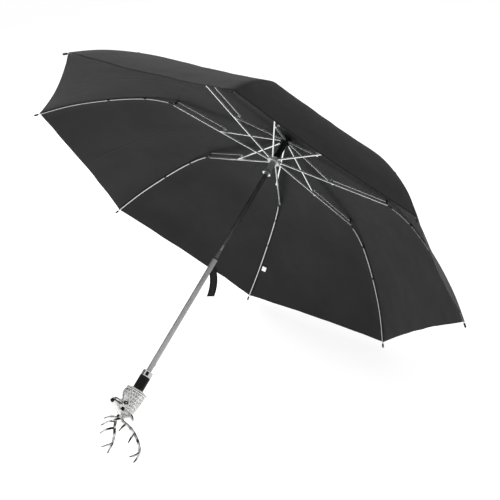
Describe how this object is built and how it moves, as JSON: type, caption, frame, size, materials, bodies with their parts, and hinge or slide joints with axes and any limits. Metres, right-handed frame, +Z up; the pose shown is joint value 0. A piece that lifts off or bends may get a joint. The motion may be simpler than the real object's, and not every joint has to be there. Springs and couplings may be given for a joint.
{
  "type": "umbrella",
  "caption": "Folding umbrella, open: domed cloth canopy on hinged channel ribs, sliding runner, telescoping shaft with push-button collar, cast stag-head handle with antlers",
  "frame": {"origin": "on the shaft axis, at the foot of the ferrule, where it stands on the canopy", "axes": "+Z up the shaft out of the ferrule; the stag muzzle points along -Y; ribs at 0, 45, 90 ... degrees about Z"},
  "size_m": [0.978, 0.978, 0.7413],
  "materials": {
    "frame_steel": "bright plated steel channel",
    "black_plastic": "moulded black plastic",
    "black_gloss": "gloss black plastic",
    "canopy_cloth": "black plain-weave cloth",
    "label_cloth": "plain white tape, no print",
    "wire": "bare spring wire",
    "dark_tube": "dark lacquered tube",
    "grey_tube": "satin grey tube",
    "chrome": "mirror bright",
    "pewter": "polished casting with darkened fur grooves"
  },
  "bodies": {
    "upper_shaft": {"ferrule": "black_gloss", "crown_notch": "black_plastic", "crown_wire": "wire", "upper_tube": "dark_tube", "canopy": "canopy_cloth", "closure_strap": "canopy_cloth", "care_label": "label_cloth"},
    "handle": {"lower_tube": "grey_tube", "tube_junction": "black_plastic", "button_collar": "chrome", "button_spring": "wire", "grip_sleeve": "black_gloss", "stag_head": "pewter", "antlers": "pewter"},
    "runner": {"runner_sleeve": "black_plastic", "runner_hub": "frame_steel", "runner_wire": "wire"},
    "shaft_catch": {"shaft_catch": "wire"},
    "runner_catch": {"runner_catch": "wire"},
    "push_button": {"push_button": "black_gloss"},
    "top_rib_1": {"top_rib_1": "frame_steel"},
    "stretcher_1": {"stretcher_1": "frame_steel"},
    "outer_rib_1": {"outer_rib_1": "frame_steel", "rib_tip_1": "black_plastic"},
    "control_link_1": {"control_link_1": "frame_steel"},
    "top_rib_2": {"top_rib_2": "frame_steel"},
    "stretcher_2": {"stretcher_2": "frame_steel"},
    "outer_rib_2": {"outer_rib_2": "frame_steel", "rib_tip_2": "black_plastic"},
    "control_link_2": {"control_link_2": "frame_steel"},
    "top_rib_3": {"top_rib_3": "frame_steel"},
    "stretcher_3": {"stretcher_3": "frame_steel"},
    "outer_rib_3": {"outer_rib_3": "frame_steel", "rib_tip_3": "black_plastic"},
    "control_link_3": {"control_link_3": "frame_steel"},
    "top_rib_4": {"top_rib_4": "frame_steel"},
    "stretcher_4": {"stretcher_4": "frame_steel"},
    "outer_rib_4": {"outer_rib_4": "frame_steel", "rib_tip_4": "black_plastic"},
    "control_link_4": {"control_link_4": "frame_steel"},
    "top_rib_5": {"top_rib_5": "frame_steel"},
    "stretcher_5": {"stretcher_5": "frame_steel"},
    "outer_rib_5": {"outer_rib_5": "frame_steel", "rib_tip_5": "black_plastic"},
    "control_link_5": {"control_link_5": "frame_steel"},
    "top_rib_6": {"top_rib_6": "frame_steel"},
    "stretcher_6": {"stretcher_6": "frame_steel"},
    "outer_rib_6": {"outer_rib_6": "frame_steel", "rib_tip_6": "black_plastic"},
    "control_link_6": {"control_link_6": "frame_steel"},
    "top_rib_7": {"top_rib_7": "frame_steel"},
    "stretcher_7": {"stretcher_7": "frame_steel"},
    "outer_rib_7": {"outer_rib_7": "frame_steel", "rib_tip_7": "black_plastic"},
    "control_link_7": {"control_link_7": "frame_steel"},
    "top_rib_8": {"top_rib_8": "frame_steel"},
    "stretcher_8": {"stretcher_8": "frame_steel"},
    "outer_rib_8": {"outer_rib_8": "frame_steel", "rib_tip_8": "black_plastic"},
    "control_link_8": {"control_link_8": "frame_steel"}
  },
  "joints": [
    {"name": "runner_slide", "type": "slide", "parent": "upper_shaft", "child": "runner", "axis": [0, 0, 1], "range_m": [-0.19683, 0], "deforming": ["canopy", "closure_strap", "care_label"]},
    {"name": "shaft_telescope", "type": "slide", "parent": "upper_shaft", "child": "handle", "axis": [0, 0, -1], "range_m": [-0.268, 0]},
    {"name": "button_press", "type": "slide", "parent": "handle", "child": "push_button", "axis": [-0.848, 0.5299, 0], "range_m": [0, 0.0022], "deforming": ["button_spring"]},
    {"name": "runner_catch_press", "type": "slide", "parent": "handle", "child": "runner_catch", "axis": [-0.7071, -0.7071, 0], "range_m": [0, 0.0019]},
    {"name": "shaft_catch_press", "type": "slide", "parent": "upper_shaft", "child": "shaft_catch", "axis": [-0.848, 0.5299, 0], "range_m": [0, 0.0008]},
    {"name": "top_rib_1_hinge", "type": "hinge", "parent": "upper_shaft", "child": "top_rib_1", "pos_m": [0.007, 0, -0.012], "axis": [0, -1, 0], "range_deg": [-68.66, 0]},
    {"name": "stretcher_1_hinge", "type": "hinge", "parent": "runner", "child": "stretcher_1", "pos_m": [0.0105, 0, -0.0613], "axis": [0, -1, 0], "range_deg": [0, 84.09]},
    {"name": "outer_rib_1_hinge", "type": "hinge", "parent": "stretcher_1", "child": "outer_rib_1", "pos_m": [0.24532, 0, -0.04339], "axis": [0, -1, 0], "range_deg": [-141.09, 0]},
    {"name": "control_link_1_hinge", "type": "hinge", "parent": "outer_rib_1", "child": "control_link_1", "pos_m": [0.23925, 0, -0.03533], "axis": [0, -1, 0], "range_deg": [0, 142.41]},
    {"name": "top_rib_2_hinge", "type": "hinge", "parent": "upper_shaft", "child": "top_rib_2", "pos_m": [0.00495, 0.00495, -0.012], "axis": [0.7071, -0.7071, 0], "range_deg": [-68.66, 0]},
    {"name": "stretcher_2_hinge", "type": "hinge", "parent": "runner", "child": "stretcher_2", "pos_m": [0.00742, 0.00742, -0.0613], "axis": [0.7071, -0.7071, 0], "range_deg": [0, 84.09]},
    {"name": "outer_rib_2_hinge", "type": "hinge", "parent": "stretcher_2", "child": "outer_rib_2", "pos_m": [0.17347, 0.17347, -0.04339], "axis": [0.7071, -0.7071, 0], "range_deg": [-141.09, 0]},
    {"name": "control_link_2_hinge", "type": "hinge", "parent": "outer_rib_2", "child": "control_link_2", "pos_m": [0.16917, 0.16917, -0.03533], "axis": [0.7071, -0.7071, 0], "range_deg": [0, 142.41]},
    {"name": "top_rib_3_hinge", "type": "hinge", "parent": "upper_shaft", "child": "top_rib_3", "pos_m": [0, 0.007, -0.012], "axis": [1, 0, 0], "range_deg": [-68.66, 0]},
    {"name": "stretcher_3_hinge", "type": "hinge", "parent": "runner", "child": "stretcher_3", "pos_m": [0, 0.0105, -0.0613], "axis": [1, 0, 0], "range_deg": [0, 84.09]},
    {"name": "outer_rib_3_hinge", "type": "hinge", "parent": "stretcher_3", "child": "outer_rib_3", "pos_m": [0, 0.24532, -0.04339], "axis": [1, 0, 0], "range_deg": [-141.09, 0]},
    {"name": "control_link_3_hinge", "type": "hinge", "parent": "outer_rib_3", "child": "control_link_3", "pos_m": [0, 0.23925, -0.03533], "axis": [1, 0, 0], "range_deg": [0, 142.41]},
    {"name": "top_rib_4_hinge", "type": "hinge", "parent": "upper_shaft", "child": "top_rib_4", "pos_m": [-0.00495, 0.00495, -0.012], "axis": [0.7071, 0.7071, 0], "range_deg": [-68.66, 0]},
    {"name": "stretcher_4_hinge", "type": "hinge", "parent": "runner", "child": "stretcher_4", "pos_m": [-0.00742, 0.00742, -0.0613], "axis": [0.7071, 0.7071, 0], "range_deg": [0, 84.09]},
    {"name": "outer_rib_4_hinge", "type": "hinge", "parent": "stretcher_4", "child": "outer_rib_4", "pos_m": [-0.17347, 0.17347, -0.04339], "axis": [0.7071, 0.7071, 0], "range_deg": [-141.09, 0]},
    {"name": "control_link_4_hinge", "type": "hinge", "parent": "outer_rib_4", "child": "control_link_4", "pos_m": [-0.16917, 0.16917, -0.03533], "axis": [0.7071, 0.7071, 0], "range_deg": [0, 142.41]},
    {"name": "top_rib_5_hinge", "type": "hinge", "parent": "upper_shaft", "child": "top_rib_5", "pos_m": [-0.007, 0, -0.012], "axis": [0, 1, 0], "range_deg": [-68.66, 0]},
    {"name": "stretcher_5_hinge", "type": "hinge", "parent": "runner", "child": "stretcher_5", "pos_m": [-0.0105, 0, -0.0613], "axis": [0, 1, 0], "range_deg": [0, 84.09]},
    {"name": "outer_rib_5_hinge", "type": "hinge", "parent": "stretcher_5", "child": "outer_rib_5", "pos_m": [-0.24532, 0, -0.04339], "axis": [0, 1, 0], "range_deg": [-141.09, 0]},
    {"name": "control_link_5_hinge", "type": "hinge", "parent": "outer_rib_5", "child": "control_link_5", "pos_m": [-0.23925, 0, -0.03533], "axis": [0, 1, 0], "range_deg": [0, 142.41]},
    {"name": "top_rib_6_hinge", "type": "hinge", "parent": "upper_shaft", "child": "top_rib_6", "pos_m": [-0.00495, -0.00495, -0.012], "axis": [-0.7071, 0.7071, 0], "range_deg": [-68.66, 0]},
    {"name": "stretcher_6_hinge", "type": "hinge", "parent": "runner", "child": "stretcher_6", "pos_m": [-0.00742, -0.00742, -0.0613], "axis": [-0.7071, 0.7071, 0], "range_deg": [0, 84.09]},
    {"name": "outer_rib_6_hinge", "type": "hinge", "parent": "stretcher_6", "child": "outer_rib_6", "pos_m": [-0.17347, -0.17347, -0.04339], "axis": [-0.7071, 0.7071, 0], "range_deg": [-141.09, 0]},
    {"name": "control_link_6_hinge", "type": "hinge", "parent": "outer_rib_6", "child": "control_link_6", "pos_m": [-0.16917, -0.16917, -0.03533], "axis": [-0.7071, 0.7071, 0], "range_deg": [0, 142.41]},
    {"name": "top_rib_7_hinge", "type": "hinge", "parent": "upper_shaft", "child": "top_rib_7", "pos_m": [0, -0.007, -0.012], "axis": [-1, 0, 0], "range_deg": [-68.66, 0]},
    {"name": "stretcher_7_hinge", "type": "hinge", "parent": "runner", "child": "stretcher_7", "pos_m": [0, -0.0105, -0.0613], "axis": [-1, 0, 0], "range_deg": [0, 84.09]},
    {"name": "outer_rib_7_hinge", "type": "hinge", "parent": "stretcher_7", "child": "outer_rib_7", "pos_m": [0, -0.24532, -0.04339], "axis": [-1, 0, 0], "range_deg": [-141.09, 0]},
    {"name": "control_link_7_hinge", "type": "hinge", "parent": "outer_rib_7", "child": "control_link_7", "pos_m": [0, -0.23925, -0.03533], "axis": [-1, 0, 0], "range_deg": [0, 142.41]},
    {"name": "top_rib_8_hinge", "type": "hinge", "parent": "upper_shaft", "child": "top_rib_8", "pos_m": [0.00495, -0.00495, -0.012], "axis": [-0.7071, -0.7071, 0], "range_deg": [-68.66, 0]},
    {"name": "stretcher_8_hinge", "type": "hinge", "parent": "runner", "child": "stretcher_8", "pos_m": [0.00742, -0.00742, -0.0613], "axis": [-0.7071, -0.7071, 0], "range_deg": [0, 84.09]},
    {"name": "outer_rib_8_hinge", "type": "hinge", "parent": "stretcher_8", "child": "outer_rib_8", "pos_m": [0.17347, -0.17347, -0.04339], "axis": [-0.7071, -0.7071, 0], "range_deg": [-141.09, 0]},
    {"name": "control_link_8_hinge", "type": "hinge", "parent": "outer_rib_8", "child": "control_link_8", "pos_m": [0.16917, -0.16917, -0.03533], "axis": [-0.7071, -0.7071, 0], "range_deg": [0, 142.41]}
  ],
  "couplings": [
    {"joint": "top_rib_1_hinge", "follows": "runner_slide", "rad_per_m": 6.0872},
    {"joint": "stretcher_1_hinge", "follows": "runner_slide", "rad_per_m": -7.4562},
    {"joint": "outer_rib_1_hinge", "follows": "runner_slide", "rad_per_m": 12.51},
    {"joint": "control_link_1_hinge", "follows": "runner_slide", "rad_per_m": -12.627},
    {"joint": "top_rib_2_hinge", "follows": "runner_slide", "rad_per_m": 6.0872},
    {"joint": "stretcher_2_hinge", "follows": "runner_slide", "rad_per_m": -7.4562},
    {"joint": "outer_rib_2_hinge", "follows": "runner_slide", "rad_per_m": 12.51},
    {"joint": "control_link_2_hinge", "follows": "runner_slide", "rad_per_m": -12.627},
    {"joint": "top_rib_3_hinge", "follows": "runner_slide", "rad_per_m": 6.0872},
    {"joint": "stretcher_3_hinge", "follows": "runner_slide", "rad_per_m": -7.4562},
    {"joint": "outer_rib_3_hinge", "follows": "runner_slide", "rad_per_m": 12.51},
    {"joint": "control_link_3_hinge", "follows": "runner_slide", "rad_per_m": -12.627},
    {"joint": "top_rib_4_hinge", "follows": "runner_slide", "rad_per_m": 6.0872},
    {"joint": "stretcher_4_hinge", "follows": "runner_slide", "rad_per_m": -7.4562},
    {"joint": "outer_rib_4_hinge", "follows": "runner_slide", "rad_per_m": 12.51},
    {"joint": "control_link_4_hinge", "follows": "runner_slide", "rad_per_m": -12.627},
    {"joint": "top_rib_5_hinge", "follows": "runner_slide", "rad_per_m": 6.0872},
    {"joint": "stretcher_5_hinge", "follows": "runner_slide", "rad_per_m": -7.4562},
    {"joint": "outer_rib_5_hinge", "follows": "runner_slide", "rad_per_m": 12.51},
    {"joint": "control_link_5_hinge", "follows": "runner_slide", "rad_per_m": -12.627},
    {"joint": "top_rib_6_hinge", "follows": "runner_slide", "rad_per_m": 6.0872},
    {"joint": "stretcher_6_hinge", "follows": "runner_slide", "rad_per_m": -7.4562},
    {"joint": "outer_rib_6_hinge", "follows": "runner_slide", "rad_per_m": 12.51},
    {"joint": "control_link_6_hinge", "follows": "runner_slide", "rad_per_m": -12.627},
    {"joint": "top_rib_7_hinge", "follows": "runner_slide", "rad_per_m": 6.0872},
    {"joint": "stretcher_7_hinge", "follows": "runner_slide", "rad_per_m": -7.4562},
    {"joint": "outer_rib_7_hinge", "follows": "runner_slide", "rad_per_m": 12.51},
    {"joint": "control_link_7_hinge", "follows": "runner_slide", "rad_per_m": -12.627},
    {"joint": "top_rib_8_hinge", "follows": "runner_slide", "rad_per_m": 6.0872},
    {"joint": "stretcher_8_hinge", "follows": "runner_slide", "rad_per_m": -7.4562},
    {"joint": "outer_rib_8_hinge", "follows": "runner_slide", "rad_per_m": 12.51},
    {"joint": "control_link_8_hinge", "follows": "runner_slide", "rad_per_m": -12.627}
  ]
}
